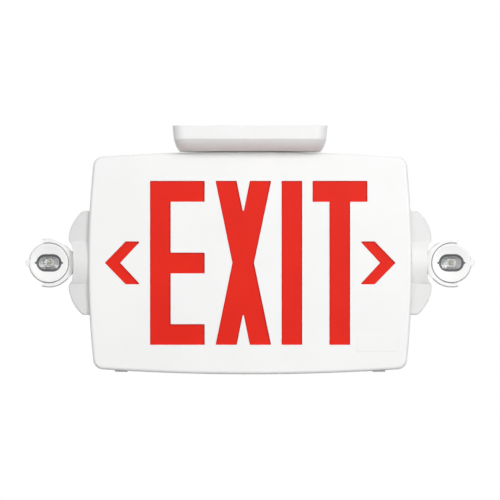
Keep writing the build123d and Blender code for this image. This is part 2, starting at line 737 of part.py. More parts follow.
with BuildPart() as bracket_hollow:
    with BuildSketch(facing(0, lamp_y + wing_root_half, 0)) as hollow:
        inner_tip_out = wing_tip_out - 2 * bracket_wall
        inner_top_out = wing_top_out - 1
        inner_top = wing_height - bracket_wall
        inner_step = barrel_half_height + bracket_wall
        inner_bulge_out = wing_bulge_out - bracket_wall
        inner_bulge_z = wing_bulge_z - 1.5
        with BuildLine():
            Line((bracket_root_out - 5, inner_top), (inner_top_out, inner_top))
            ThreePointArc((inner_top_out, inner_top), (inner_bulge_out, inner_bulge_z), (inner_tip_out, wing_tip_z))
            Line((inner_tip_out, wing_tip_z), (end_wall_out, inner_step))
            Line((end_wall_out, inner_step), (end_wall_out, -inner_step))
            Line((end_wall_out, -inner_step), (inner_tip_out, -wing_tip_z))
            ThreePointArc((inner_tip_out, -wing_tip_z), (inner_bulge_out, -inner_bulge_z), (inner_top_out, -inner_top))
            Line((inner_top_out, -inner_top), (bracket_root_out - 5, -inner_top))
            Line((bracket_root_out - 5, -inner_top), (bracket_root_out - 5, inner_top))
        make_face()
    extrude(hollow.sketch, amount=2 * wing_root_half)
    wedge(bracket_wall, bracket_root_out - 5, Mode.INTERSECT)
    loft([barrel_section(bracket_root_out - 5, bracket_wall), barrel_section(end_wall_out, bracket_wall)], ruled=True)

with BuildPart() as bracket_body:
    loft([barrel_section(bracket_root_out, 0), barrel_section(wing_tip_out, 0)], ruled=True)
    with BuildSketch(facing(0, lamp_y + barrel_root_half + 1, 0)) as whole:
        add(bracket_outline())
    extrude(whole.sketch, amount=2 * barrel_root_half + 2, mode=Mode.INTERSECT)
    add(bracket_wings.part)
    add(bracket_hollow.part, mode=Mode.SUBTRACT)

with BuildPart() as right_lamp_bracket:
    add(bracket_body.part.moved(Location((half_width, 0, 0))))
    bracket_root_x = half_width + bracket_root_out
    boss_half = taper(bracket_root_out + bracket_boss_length, wing_root_half, wing_tip_half) - bracket_wall / 2
    for z in (-bracket_screw_z, bracket_screw_z):
        rod(outward(bracket_root_x, lamp_y, z), bracket_boss_r, bracket_boss_length)
        block(outward(bracket_root_x, lamp_y, z), 2 * boss_half, gusset, bracket_boss_length)
    bowed_slab(back_y, front_y, -touch, mode=Mode.SUBTRACT)
    for z in (-bracket_screw_z, bracket_screw_z):
        rod(outward(bracket_root_x, lamp_y, z), pilot_r, bracket_boss_length - 1, mode=Mode.SUBTRACT)
    rod(outward(end_wall_x - 5, lamp_y, 0), neck_r + running, drill, mode=Mode.SUBTRACT)
    rod(outward(collar_seat_x, lamp_y, 0), collar_r + gap, 10, mode=Mode.SUBTRACT)

# Bracket screws: driven from inside the housing
with BuildPart() as right_bracket_screws:
    for z in (-bracket_screw_z, bracket_screw_z):
        wall_x = half_width - wall - side_bow * (z / (half_height - top_bow)) ** 2 - gap
        screw(outward(wall_x, lamp_y, z), bracket_screw_length)

# Yoke: a C of spherical shell on a collar and a hollow neck
lamp_centre = (lamp_x, lamp_y, centre_z)
cable_bore_r = 2.0
sleeve_r = 2.8
sleeve_x = lamp_x - ball_r - gap
collar_end_x = collar_seat_x + gap + collar_length - touch
with BuildPart() as right_lamp_yoke:
    with Locations(lamp_centre):
        Sphere(yoke_outer_r)
    with BuildSketch(facing(lamp_x, lamp_y + yoke_half_width, 0)) as band:
        with BuildLine():
            start = PolarLine((0, 0), yoke_outer_r + 8, 180 - yoke_reach)
            end = PolarLine((0, 0), yoke_outer_r + 8, 180 + yoke_reach)
            ThreePointArc(start @ 1, (-yoke_outer_r - 8, 0), end @ 1)
        make_face()
    extrude(band.sketch, amount=2 * yoke_half_width, mode=Mode.INTERSECT)
    rod(outward(collar_seat_x + gap, lamp_y, 0), collar_r, collar_length)
    with BuildSketch(facing(lamp_x, lamp_y + yoke_half_width, 0)) as shoulder:
        with BuildLine():
            Polyline(
                (collar_end_x - lamp_x, collar_r - gap),
                (shoulder_x - lamp_x, shoulder_half),
                (shoulder_x - lamp_x + 2, shoulder_half),
                (shoulder_x - lamp_x + 2, -shoulder_half),
                (shoulder_x - lamp_x, -shoulder_half),
                (collar_end_x - lamp_x, gap - collar_r),
                close=True,
            )
        make_face()
    extrude(shoulder.sketch, amount=2 * yoke_half_width)
    with Locations((lamp_x + yoke_shift, lamp_y, centre_z)):
        Sphere(yoke_inner_r, mode=Mode.SUBTRACT)
    rod(outward(neck_end_x, lamp_y, 0), neck_r, collar_seat_x + gap - neck_end_x + 1)
    rod(outward(neck_end_x, lamp_y, 0), sleeve_r, sleeve_x - neck_end_x)
    rod(outward(neck_end_x, lamp_y, 0), neck_bore_r, 12, mode=Mode.SUBTRACT)
    rod(outward(neck_end_x, lamp_y, 0), cable_bore_r, 30, mode=Mode.SUBTRACT)
    rod(level(lamp_x, lamp_y, centre_z - yoke_outer_r - 1), pin_r + touch, 2 * yoke_outer_r + 2, mode=Mode.SUBTRACT)

# Nut and washer that hold the neck in the bracket
yoke_washer_r = 12.0
yoke_washer_thickness = 1.2
yoke_nut_reach = 10.5
yoke_nut_height = 4.5
with BuildPart() as right_yoke_washer:
    tube(outward(end_wall_x - gap - yoke_washer_thickness, lamp_y, 0), yoke_washer_r, neck_r + touch, yoke_washer_thickness)
with BuildPart() as right_yoke_nut:
    with BuildSketch(outward(end_wall_x - gap - yoke_washer_thickness - touch - yoke_nut_height, lamp_y, 0)) as hexagon:
        RegularPolygon(yoke_nut_reach, 6, major_radius=False)
        Circle(neck_r + touch, mode=Mode.SUBTRACT)
    extrude(hexagon.sketch, amount=yoke_nut_height)

# Pivot pins: one above and one below the lamp, pressed into the yoke
pin_length = 5.4
with BuildPart() as right_pivot_pins:
    for turn in (1, -1):
        tip = Plane(
            origin=(lamp_x, lamp_y, centre_z + turn * (yoke_outer_r - gap - pin_length)),
            x_dir=(1, 0, 0),
            z_dir=(0, 0, turn),
        )
        rod(tip, pin_r, pin_length)

# Lamp shell: the rear of the ball, ribbed behind, with a slot for the leads
shell_wall = 2.0
split_y = -4.0
shell_back_y = 15.5
front_plane_y = -7.0
vent_pitch = 4.4
pin_boss_r = 3.9
with BuildPart() as right_lamp_shell:
    with Locations(lamp_centre):
        Sphere(ball_r)
    block(facing(lamp_x, lamp_y + split_y, 0), cut, cut, cut, mode=Mode.SUBTRACT)
    block(backward(lamp_x, lamp_y + shell_back_y, 0), cut, cut, cut, mode=Mode.SUBTRACT)
    fillet(right_lamp_shell.faces().sort_by(Axis.Y)[-1].edges(), 2.0)
    with Locations(lamp_centre):
        Sphere(ball_r - shell_wall, mode=Mode.SUBTRACT)
    for turn in (1, -1):
        foot = Plane(origin=(lamp_x, lamp_y, centre_z + turn * (ball_r - 4.5)), x_dir=(1, 0, 0), z_dir=(0, 0, turn))
        rod(foot, pin_boss_r, 3.6)
        rod(foot.offset(-1), pin_r + running, 10, mode=Mode.SUBTRACT)
    with BuildSketch(facing(lamp_x, lamp_y + shell_back_y + 1, 0)) as vents:
        with GridLocations(0, vent_pitch, 1, 5):
            SlotOverall(13, 1.8)
    extrude(vents.sketch, amount=5, mode=Mode.SUBTRACT)
    block(outward(lamp_x - 30, lamp_y + 4, 0), 15, 5.6, 20, mode=Mode.SUBTRACT)

# Lamp bezel: front of the ball, dished round a long window, with a finger nub
window_w = 23.6
window_h = 16.4
dish_depth = 1.6
dish_edge_r = 16.6
notch_reach = 13.7
spigot_r = 16.4
spigot_wall = 1.2
spigot_depth = 2.6
nub_r = 3.4
nub_reach = 21.8
bezel_front = lamp_y + front_plane_y
with BuildPart() as right_lamp_bezel:
    with Locations(lamp_centre):
        Sphere(ball_r)
    block(facing(lamp_x, lamp_y + front_plane_y, 0), cut, cut, cut, mode=Mode.SUBTRACT)
    block(backward(lamp_x, lamp_y + split_y - touch, 0), cut, cut, cut, mode=Mode.SUBTRACT)
    nub_length = split_y - front_plane_y - touch - 0.8
    rod(facing(lamp_x + nub_reach - nub_r, lamp_y + split_y - touch, 0), nub_r, nub_length)
    nub_rim = right_lamp_bezel.edges().filter_by(lambda e: e.geom_type == GeomType.CIRCLE and abs(e.radius - nub_r) < 0.01)
    fillet(nub_rim.group_by(Axis.Y)[0], 0.8)
    dish_r = (dish_edge_r**2 + dish_depth**2) / (2 * dish_depth)
    with Locations((lamp_x, bezel_front + dish_depth - dish_r, centre_z)):
        Sphere(dish_r, mode=Mode.SUBTRACT)
    with BuildSketch(facing(lamp_x, lamp_y + 10, 0)) as window:
        SlotOverall(window_w, window_h)
        for side in (-1, 1):
            with BuildLine():
                Polyline((side * 9, 3.2), (side * notch_reach, 0), (side * 9, -3.2), close=True)
            make_face()
    extrude(window.sketch, amount=40, mode=Mode.SUBTRACT)
    spigot_back = facing(lamp_x, lamp_y + split_y + spigot_depth, 0)
    with BuildSketch(spigot_back) as spigot:
        Circle(spigot_r)
        Circle(spigot_r - spigot_wall, mode=Mode.SUBTRACT)
        Rectangle(2 * pin_boss_r + 2 * gap, 40, mode=Mode.SUBTRACT)
    extrude(spigot.sketch, amount=spigot_depth + 0.4)

# Lens: clear block that fills the window, with a flange behind the bezel
lens_setback = 1.0
lens_front_y = bezel_front + dish_depth + lens_setback - 0.6
lens_flange_y = lamp_y + split_y + touch
with BuildPart() as right_lamp_lens:
    with BuildSketch(facing(lamp_x, lens_flange_y + 1.4, 0)) as flange:
        SlotOverall(window_w + 4, window_h + 4)
    extrude(flange.sketch, amount=1.4)
    with BuildSketch(facing(lamp_x, lens_flange_y + 1.4, 0)) as core:
        SlotOverall(window_w - 2 * gap, window_h - 2 * gap)
    extrude(core.sketch, amount=lens_flange_y + 1.4 - lens_front_y)
    fillet(right_lamp_lens.faces().sort_by(Axis.Y)[0].edges(), 0.6)

# Reflector, lamp board and heat sink inside the ball
bowl_front_y = lens_flange_y + 1.4 + gap
bowl_depth = 7.0
bowl_wall = 0.9


def bowl(inset, extra, mode):
    """The reflector's form: a long mouth drawn in to a small throat."""
    with BuildSketch(facing(lamp_x, bowl_front_y - extra, 0), mode=Mode.PRIVATE) as mouth:
        SlotOverall(window_w + 1 - 2 * inset, window_h + 1 - 2 * inset)
    with BuildSketch(facing(lamp_x, bowl_front_y + bowl_depth + extra, 0), mode=Mode.PRIVATE) as throat:
        SlotOverall(10.5 - 2 * inset, 9.5 - 2 * inset)
    loft([mouth.sketch, throat.sketch], ruled=True, mode=mode)


with BuildPart() as right_lamp_reflector:
    bowl(0, 0, Mode.ADD)
    bowl(bowl_wall, 0.01, Mode.SUBTRACT)

lamp_board_front_y = bowl_front_y + bowl_depth + 0.1
lamp_board_thickness = 1.4
lamp_board_r = 12.5
lamp_screw_x = 9.8
with BuildPart() as right_lamp_board:
    rod(facing(lamp_x, lamp_board_front_y + lamp_board_thickness, 0), lamp_board_r, lamp_board_thickness)
    for side in (-1, 1):
        rod(facing(lamp_x + side * lamp_screw_x, lamp_board_front_y + 5, 0), 1.1, 10, mode=Mode.SUBTRACT)

with BuildPart() as right_lamp_chip:
    block(facing(lamp_x, lamp_board_front_y - touch, 0), 4.6, 4.6, 0.9)
    with Locations((lamp_x, lamp_board_front_y - touch - 0.9, centre_z)):
        Sphere(1.9)
    block(facing(lamp_x, lamp_board_front_y - touch + 10, 0), 10, 10, 10, mode=Mode.SUBTRACT)

sink_front_y = lamp_board_front_y + lamp_board_thickness + touch
sink_base = 1.8
sink_depth = 5.0
with BuildPart() as right_heat_sink:
    rod(facing(lamp_x, sink_front_y + sink_base, 0), lamp_board_r, sink_base)
    with BuildSketch(facing(lamp_x, sink_front_y + sink_depth, 0)) as fins:
        with GridLocations(0, vent_pitch, 1, 4):
            Rectangle(14, 1.2)
    extrude(fins.sketch, amount=sink_depth - sink_base + 0.1)
    for side in (-1, 1):
        rod(facing(lamp_x + side * lamp_screw_x, sink_front_y + 5, 0), 0.9 + touch, 10, mode=Mode.SUBTRACT)

with BuildPart() as right_lamp_screws:
    for side in (-1, 1):
        x = lamp_x + side * lamp_screw_x
        under = backward(x, lamp_board_front_y - touch, 0)
        rod(under, 0.9, 3.4)
        rod(under, 1.7, -1.0)

lamp_pieces = {
    "lamp_bracket": right_lamp_bracket,
    "bracket_screws": right_bracket_screws,
    "lamp_yoke": right_lamp_yoke,
    "yoke_washer": right_yoke_washer,
    "yoke_nut": right_yoke_nut,
    "pivot_pins": right_pivot_pins,
    "lamp_shell": right_lamp_shell,
    "lamp_bezel": right_lamp_bezel,
    "lamp_lens": right_lamp_lens,
    "lamp_reflector": right_lamp_reflector,
    "lamp_board": right_lamp_board,
    "lamp_chip": right_lamp_chip,
    "heat_sink": right_heat_sink,
    "lamp_screws": right_lamp_screws,
}
for name, piece in lamp_pieces.items():
    keep(piece, f"right_{name}")
    with BuildPart() as left_piece:
        mirror(piece.part, about=Plane.YZ)
    keep(left_piece, f"left_{name}")
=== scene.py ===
import json
import math

import bpy
import numpy as np
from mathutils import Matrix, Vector
from mathutils.geometry import delaunay_2d_cdt


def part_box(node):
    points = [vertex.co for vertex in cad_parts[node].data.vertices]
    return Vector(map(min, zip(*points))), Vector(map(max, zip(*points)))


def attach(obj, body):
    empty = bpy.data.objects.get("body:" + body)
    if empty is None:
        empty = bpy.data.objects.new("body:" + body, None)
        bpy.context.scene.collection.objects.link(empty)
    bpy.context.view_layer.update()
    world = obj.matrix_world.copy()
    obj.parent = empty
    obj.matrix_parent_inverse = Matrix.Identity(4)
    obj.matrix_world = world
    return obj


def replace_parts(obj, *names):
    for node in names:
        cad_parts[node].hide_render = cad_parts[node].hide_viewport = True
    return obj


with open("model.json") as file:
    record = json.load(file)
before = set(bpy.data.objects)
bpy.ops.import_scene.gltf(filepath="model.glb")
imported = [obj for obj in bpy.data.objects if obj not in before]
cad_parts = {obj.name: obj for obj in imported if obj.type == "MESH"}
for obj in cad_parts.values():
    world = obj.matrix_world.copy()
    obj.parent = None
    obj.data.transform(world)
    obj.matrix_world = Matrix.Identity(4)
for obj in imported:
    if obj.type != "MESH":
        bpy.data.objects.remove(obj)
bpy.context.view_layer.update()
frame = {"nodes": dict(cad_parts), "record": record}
mm = 0.001

# The sign's outline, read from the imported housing
housing_lo, housing_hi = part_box("housing_frame")
face_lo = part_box("front_face")[0]
centre_z = (housing_lo.z + housing_hi.z) / 2
half_width = housing_hi.x
half_height = (housing_hi.z - housing_lo.z) / 2
front_y = face_lo.y
side_bow = 5.6 * mm
top_bow = 5.2 * mm
corner_r = 9.5 * mm
face_edge_r = 3.0 * mm
face_wall = 2.2 * mm
face_thickness = 2.4 * mm
skirt_back_y = -12.3 * mm
skirt_fold_y = -16.0 * mm


# Shader node helpers
def place(tree, kind, **values):
    """Adds a node and sets its properties and its unlinked inputs by name."""
    node = tree.nodes.new(kind)
    for key, value in values.items():
        if key in node.bl_rna.properties:
            setattr(node, key, value)
        else:
            node.inputs[key.replace("_", " ")].default_value = value
    return node


def join(tree, out, into):
    """Links an output socket to an input socket."""
    tree.links.new(out, into)


def group(name, inputs, outputs):
    """An empty node group with float or colour sockets, and its two end nodes."""
    tree = bpy.data.node_groups.new(name, "ShaderNodeTree")
    for label, default in inputs:
        kind = "NodeSocketColor" if isinstance(default, tuple) else "NodeSocketFloat"
        socket = tree.interface.new_socket(label, in_out="INPUT", socket_type=kind)
        socket.default_value = default
    for label, kind in outputs:
        tree.interface.new_socket(label, in_out="OUTPUT", socket_type=kind)
    return tree, tree.nodes.new("NodeGroupInput"), tree.nodes.new("NodeGroupOutput")


def maths(tree, operation, first, second):
    """One sum: each side is a socket or a number."""
    node = tree.nodes.new("ShaderNodeMath")
    node.operation = operation
    for side, value in enumerate((first, second)):
        if isinstance(value, (int, float)):
            node.inputs[side].default_value = value
        else:
            join(tree, value, node.inputs[side])
    return node.outputs[0]


def moulding_grain_group():
    """Moulded surface: slow tint and gloss drift, and the fine spark-eroded grain of the tool."""
    tree, start, end = group(
        "moulding_grain",
        [("Colour", (0.8, 0.8, 0.8, 1.0)), ("Drift Colour", (0.7, 0.7, 0.7, 1.0)), ("Drift Size", 0.05),
         ("Roughness", 0.4), ("Gloss Swing", 0.1), ("Grain Size", 0.0005)],
        [("Colour", "NodeSocketColor"), ("Roughness", "NodeSocketFloat"), ("Height", "NodeSocketFloat")],
    )
    spot = place(tree, "ShaderNodeTexCoord").outputs["Object"]
    drift = place(tree, "ShaderNodeTexNoise", Detail=3.0, Roughness=0.55)
    join(tree, spot, drift.inputs["Vector"])
    join(tree, maths(tree, "DIVIDE", 1.0, start.outputs["Drift Size"]), drift.inputs["Scale"])
    spread = place(tree, "ShaderNodeMapRange", From_Min=0.35, From_Max=0.65)
    join(tree, drift.outputs[0], spread.inputs["Value"])
    tint = place(tree, "ShaderNodeMix", data_type="RGBA")
    join(tree, spread.outputs[0], tint.inputs[0])
    join(tree, start.outputs["Colour"], tint.inputs[6])
    join(tree, start.outputs["Drift Colour"], tint.inputs[7])
    join(tree, tint.outputs[2], end.inputs["Colour"])
    handled = place(tree, "ShaderNodeTexNoise", Detail=4.0, Roughness=0.6)
    join(tree, spot, handled.inputs["Vector"])
    join(tree, maths(tree, "DIVIDE", 2.7, start.outputs["Drift Size"]), handled.inputs["Scale"])
    uneven = maths(tree, "SUBTRACT", handled.outputs[0], 0.5)
    swing = maths(tree, "MULTIPLY", uneven, start.outputs["Gloss Swing"])
    join(tree, maths(tree, "ADD", start.outputs["Roughness"], swing), end.inputs["Roughness"])
    grain = place(tree, "ShaderNodeTexNoise", Detail=2.0, Roughness=0.5)
    join(tree, spot, grain.inputs["Vector"])
    join(tree, maths(tree, "DIVIDE", 1.0, start.outputs["Grain Size"]), grain.inputs["Scale"])
    join(tree, grain.outputs[0], end.inputs["Height"])
    return tree


def drawn_metal_group():
    """Metal drawn or rolled along one axis: long thin scratches, and soft patches of duller plating."""
    tree, start, end = group(
        "drawn_metal",
        [("Colour", (0.7, 0.7, 0.7, 1.0)), ("Dull Colour", (0.5, 0.5, 0.5, 1.0)), ("Roughness", 0.3),
         ("Line Size", 0.0004), ("Line Length", 12.0)],
        [("Colour", "NodeSocketColor"), ("Roughness", "NodeSocketFloat"), ("Height", "NodeSocketFloat")],
    )
    spot = place(tree, "ShaderNodeTexCoord").outputs["Object"]
    parts = place(tree, "ShaderNodeSeparateXYZ")
    join(tree, spot, parts.inputs[0])
    squeezed = place(tree, "ShaderNodeCombineXYZ")
    join(tree, maths(tree, "DIVIDE", parts.outputs[0], start.outputs["Line Length"]), squeezed.inputs[0])
    join(tree, parts.outputs[1], squeezed.inputs[1])
    join(tree, parts.outputs[2], squeezed.inputs[2])
    lines = place(tree, "ShaderNodeTexNoise", Detail=3.0, Roughness=0.6)
    join(tree, squeezed.outputs[0], lines.inputs["Vector"])
    join(tree, maths(tree, "DIVIDE", 1.0, start.outputs["Line Size"]), lines.inputs["Scale"])
    join(tree, lines.outputs[0], end.inputs["Height"])
    patches = place(tree, "ShaderNodeTexVoronoi", feature="F1", Scale=420.0, Randomness=1.0)
    join(tree, spot, patches.inputs["Vector"])
    soft = place(tree, "ShaderNodeTexNoise", Scale=160.0, Detail=3.0)
    join(tree, spot, soft.inputs["Vector"])
    share = maths(tree, "MULTIPLY", patches.outputs["Distance"], soft.outputs[0])
    tint = place(tree, "ShaderNodeMix", data_type="RGBA")
    join(tree, share, tint.inputs[0])
    join(tree, start.outputs["Colour"], tint.inputs[6])
    join(tree, start.outputs["Dull Colour"], tint.inputs[7])
    join(tree, tint.outputs[2], end.inputs["Colour"])
    swing = maths(tree, "MULTIPLY", maths(tree, "SUBTRACT", soft.outputs[0], 0.4), 0.3)
    join(tree, maths(tree, "ADD", start.outputs["Roughness"], swing), end.inputs["Roughness"])
    return tree


def copper_tracks_group():
    """Circuit board: copper tracks under the mask as narrow bands between cells, and tinned round pads."""
    tree, start, end = group(
        "copper_tracks",
        [("Mask Colour", (0.02, 0.16, 0.05, 1.0)), ("Track Colour", (0.05, 0.28, 0.10, 1.0)),
         ("Pitch", 0.004)],
        [("Colour", "NodeSocketColor"), ("Pads", "NodeSocketFloat"), ("Height", "NodeSocketFloat")],
    )
    spot = place(tree, "ShaderNodeTexCoord").outputs["Object"]
    cells = place(tree, "ShaderNodeTexVoronoi", feature="DISTANCE_TO_EDGE", Randomness=0.55)
    join(tree, spot, cells.inputs["Vector"])
    join(tree, maths(tree, "DIVIDE", 0.5, start.outputs["Pitch"]), cells.inputs["Scale"])
    track = place(tree, "ShaderNodeMapRange", From_Min=0.10, From_Max=0.13, To_Min=1.0, To_Max=0.0)
    join(tree, cells.outputs["Distance"], track.inputs["Value"])
    points = place(tree, "ShaderNodeTexVoronoi", feature="F1", Randomness=0.55)
    join(tree, spot, points.inputs["Vector"])
    join(tree, maths(tree, "DIVIDE", 0.5, start.outputs["Pitch"]), points.inputs["Scale"])
    pad = place(tree, "ShaderNodeMapRange", From_Min=0.12, From_Max=0.14, To_Min=1.0, To_Max=0.0)
    join(tree, points.outputs["Distance"], pad.inputs["Value"])
    tint = place(tree, "ShaderNodeMix", data_type="RGBA")
    join(tree, track.outputs[0], tint.inputs[0])
    join(tree, start.outputs["Mask Colour"], tint.inputs[6])
    join(tree, start.outputs["Track Colour"], tint.inputs[7])
    tinned = place(tree, "ShaderNodeMix", data_type="RGBA")
    tinned.inputs[7].default_value = (0.62, 0.62, 0.60, 1.0)
    join(tree, pad.outputs[0], tinned.inputs[0])
    join(tree, tint.outputs[2], tinned.inputs[6])
    join(tree, tinned.outputs[2], end.inputs["Colour"])
    join(tree, pad.outputs[0], end.inputs["Pads"])
    join(tree, maths(tree, "MAXIMUM", track.outputs[0], pad.outputs[0]), end.inputs["Height"])
    return tree


moulding_grain = moulding_grain_group()
drawn_metal = drawn_metal_group()
copper_tracks = copper_tracks_group()


def shader(name):
    """A new material with its Principled shader, ready for its groups."""
    material = bpy.data.materials.new(name)
    material.use_nodes = True
    tree = material.node_tree
    return material, tree, tree.nodes["Principled BSDF"]


def add_bump(tree, surface, height, depth):
    """Bump on a shader, its full height given as a length."""
    bump = place(tree, "ShaderNodeBump", Strength=1.0, Distance=depth)
    join(tree, height, bump.inputs["Height"])
    join(tree, bump.outputs[0], surface.inputs["Normal"])


def moulded(name, colour, drift, roughness=0.42, swing=0.12, grain=0.45 * mm, depth=0.02 * mm,
            patch=60 * mm, shine=0.5):
    """Moulded plastic: two near tints, uneven gloss and the tool's grain."""
    material, tree, surface = shader(name)
    skin = tree.nodes.new("ShaderNodeGroup")
    skin.node_tree = moulding_grain
    skin.inputs["Colour"].default_value = (*colour, 1.0)
    skin.inputs["Drift Colour"].default_value = (*drift, 1.0)
    skin.inputs["Drift Size"].default_value = patch
    skin.inputs["Roughness"].default_value = roughness
    skin.inputs["Gloss Swing"].default_value = swing
    skin.inputs["Grain Size"].default_value = grain
    join(tree, skin.outputs["Colour"], surface.inputs["Base Color"])
    join(tree, skin.outputs["Roughness"], surface.inputs["Roughness"])
    surface.inputs["Specular IOR Level"].default_value = shine
    add_bump(tree, surface, skin.outputs["Height"], depth)
    return material


def plated(name, colour, dull, roughness=0.3, line=0.35 * mm, length=12.0, depth=0.008 * mm):
    """Bright or plated metal with drawing lines and duller patches."""
    material, tree, surface = shader(name)
    skin = tree.nodes.new("ShaderNodeGroup")
    skin.node_tree = drawn_metal
    skin.inputs["Colour"].default_value = (*colour, 1.0)
    skin.inputs["Dull Colour"].default_value = (*dull, 1.0)
    skin.inputs["Roughness"].default_value = roughness
    skin.inputs["Line Size"].default_value = line
    skin.inputs["Line Length"].default_value = length
    surface.inputs["Metallic"].default_value = 1.0
    join(tree, skin.outputs["Colour"], surface.inputs["Base Color"])
    join(tree, skin.outputs["Roughness"], surface.inputs["Roughness"])
    add_bump(tree, surface, skin.outputs["Height"], depth)
    return material


def printed_board(name, mask, track, pitch):
    """A circuit board: solder mask over tracks, with tinned pads."""
    material, tree, surface = shader(name)
    print_work = tree.nodes.new("ShaderNodeGroup")
    print_work.node_tree = copper_tracks
    print_work.inputs["Mask Colour"].default_value = (*mask, 1.0)
    print_work.inputs["Track Colour"].default_value = (*track, 1.0)
    print_work.inputs["Pitch"].default_value = pitch
    join(tree, print_work.outputs["Colour"], surface.inputs["Base Color"])
    gloss = place(tree, "ShaderNodeMapRange", To_Min=0.28, To_Max=0.42)
    join(tree, print_work.outputs["Pads"], gloss.inputs["Value"])
    join(tree, gloss.outputs[0], surface.inputs["Roughness"])
    add_bump(tree, surface, print_work.outputs["Height"], 0.04 * mm)
    return material


def ridged(name, colour, groove, period, axis, roughness, metallic, depth):
    """Stacked sheets or wound tape: even bands across one axis, each a little uneven."""
    material, tree, surface = shader(name)
    spot = place(tree, "ShaderNodeTexCoord").outputs["Object"]
    bands = place(tree, "ShaderNodeTexWave", wave_type="BANDS", bands_direction=axis,
                  Scale=math.pi / (10 * period), Distortion=0.25, Detail=1.0)
    join(tree, spot, bands.inputs["Vector"])
    tint = place(tree, "ShaderNodeMix", data_type="RGBA")
    tint.inputs[6].default_value = (*groove, 1.0)
    tint.inputs[7].default_value = (*colour, 1.0)
    join(tree, bands.outputs["Fac"], tint.inputs[0])
    join(tree, tint.outputs[2], surface.inputs["Base Color"])
    fleck = place(tree, "ShaderNodeTexNoise", Scale=700.0, Detail=3.0)
    join(tree, spot, fleck.inputs["Vector"])
    gloss = place(tree, "ShaderNodeMapRange", To_Min=roughness - 0.08, To_Max=roughness + 0.12)
    join(tree, fleck.outputs[0], gloss.inputs["Value"])
    join(tree, gloss.outputs[0], surface.inputs["Roughness"])
    surface.inputs["Metallic"].default_value = metallic
    add_bump(tree, surface, bands.outputs["Fac"], depth)
    return material


def lens_plastic(name, colour, roughness, depth):
    """Clear or tinted see-through plastic with faint flow ripples."""
    material, tree, surface = shader(name)
    surface.inputs["Base Color"].default_value = (*colour, 1.0)
    surface.inputs["Metallic"].default_value = 0.0
    surface.inputs["Transmission Weight"].default_value = 1.0
    surface.inputs["IOR"].default_value = 1.49
    spot = place(tree, "ShaderNodeTexCoord").outputs["Object"]
    flow = place(tree, "ShaderNodeTexNoise", Scale=180.0, Detail=2.0)
    join(tree, spot, flow.inputs["Vector"])
    gloss = place(tree, "ShaderNodeMapRange", To_Min=roughness * 0.5, To_Max=roughness * 1.5)
    join(tree, flow.outputs[0], gloss.inputs["Value"])
    join(tree, gloss.outputs[0], surface.inputs["Roughness"])
    add_bump(tree, surface, flow.outputs[0], depth)
    return material


finishes = {
    "white_moulding": moulded("white_moulding", (0.86, 0.86, 0.855), (0.835, 0.837, 0.83)),
    # the brackets' finish: the white moulding made darker, painted shade for their set-back place beside the
    # face
    "bracket_painted_shade": moulded("bracket_painted_shade", (0.765, 0.765, 0.76), (0.735, 0.737, 0.73)),
    "red_sheet": moulded("red_sheet", (0.74, 0.012, 0.001), (0.71, 0.010, 0.001), 0.42, 0.08, 0.8 * mm,
                         0.006 * mm, shine=0.15),
    "white_panel": moulded("white_panel", (0.88, 0.88, 0.87), (0.85, 0.85, 0.84), 0.30, 0.10),
    "white_board": printed_board("white_board", (0.80, 0.80, 0.78), (0.86, 0.86, 0.84), 3.5 * mm),
    "amber_chip": moulded("amber_chip", (0.80, 0.52, 0.08), (0.72, 0.42, 0.05), 0.35, 0.1, 0.2 * mm),
    "zinc_steel": plated("zinc_steel", (0.72, 0.73, 0.74), (0.50, 0.52, 0.55), 0.32),
    "green_board": printed_board("green_board", (0.012, 0.11, 0.035), (0.03, 0.20, 0.07), 4.5 * mm),
    "core_steel": ridged("core_steel", (0.34, 0.33, 0.32), (0.13, 0.12, 0.11), 0.5 * mm, "Y", 0.45,
                         1.0, 0.05 * mm),
    "winding_tape": ridged("winding_tape", (0.82, 0.60, 0.12), (0.62, 0.42, 0.07), 5.5 * mm, "Z", 0.35,
                           0.0, 0.05 * mm),
    "black_sleeve": moulded("black_sleeve", (0.018, 0.018, 0.022), (0.028, 0.028, 0.034), 0.30, 0.16),
    "blue_case": moulded("blue_case", (0.02, 0.12, 0.42), (0.03, 0.15, 0.47), 0.36, 0.12),
    "green_terminal": moulded("green_terminal", (0.03, 0.26, 0.08), (0.04, 0.31, 0.11), 0.45, 0.12),
    "battery_sleeve": moulded("battery_sleeve", (0.05, 0.20, 0.50), (0.06, 0.24, 0.56), 0.28, 0.10,
                              1.2 * mm),
    "button_grey": moulded("button_grey", (0.42, 0.43, 0.44), (0.38, 0.39, 0.40), 0.46, 0.12),
    "black_plastic": moulded("black_plastic", (0.022, 0.022, 0.024), (0.03, 0.03, 0.033), 0.48, 0.14),
    # a dark grey for the band round each lens: painted shade where the window's depth and the lens edge look
    # dark
    "rim_plastic": moulded("rim_plastic", (0.060, 0.061, 0.064), (0.078, 0.079, 0.082), 0.42, 0.12),
    "status_lens": lens_plastic("status_lens", (0.85, 0.10, 0.06), 0.08, 0.01 * mm),
    "clear_lens": lens_plastic("clear_lens", (0.96, 0.97, 0.97), 0.02, 0.004 * mm),
    "bright_reflector": plated("bright_reflector", (0.46, 0.46, 0.47), (0.38, 0.38, 0.39), 0.26, 0.5 * mm,
                               4.0, 0.002 * mm),
    "lamp_chip": moulded("lamp_chip", (0.62, 0.60, 0.50), (0.52, 0.50, 0.40), 0.35, 0.1, 0.2 * mm),
    "bare_aluminium": plated("bare_aluminium", (0.78, 0.79, 0.80), (0.66, 0.67, 0.69), 0.34, 0.25 * mm,
                             16.0),
}

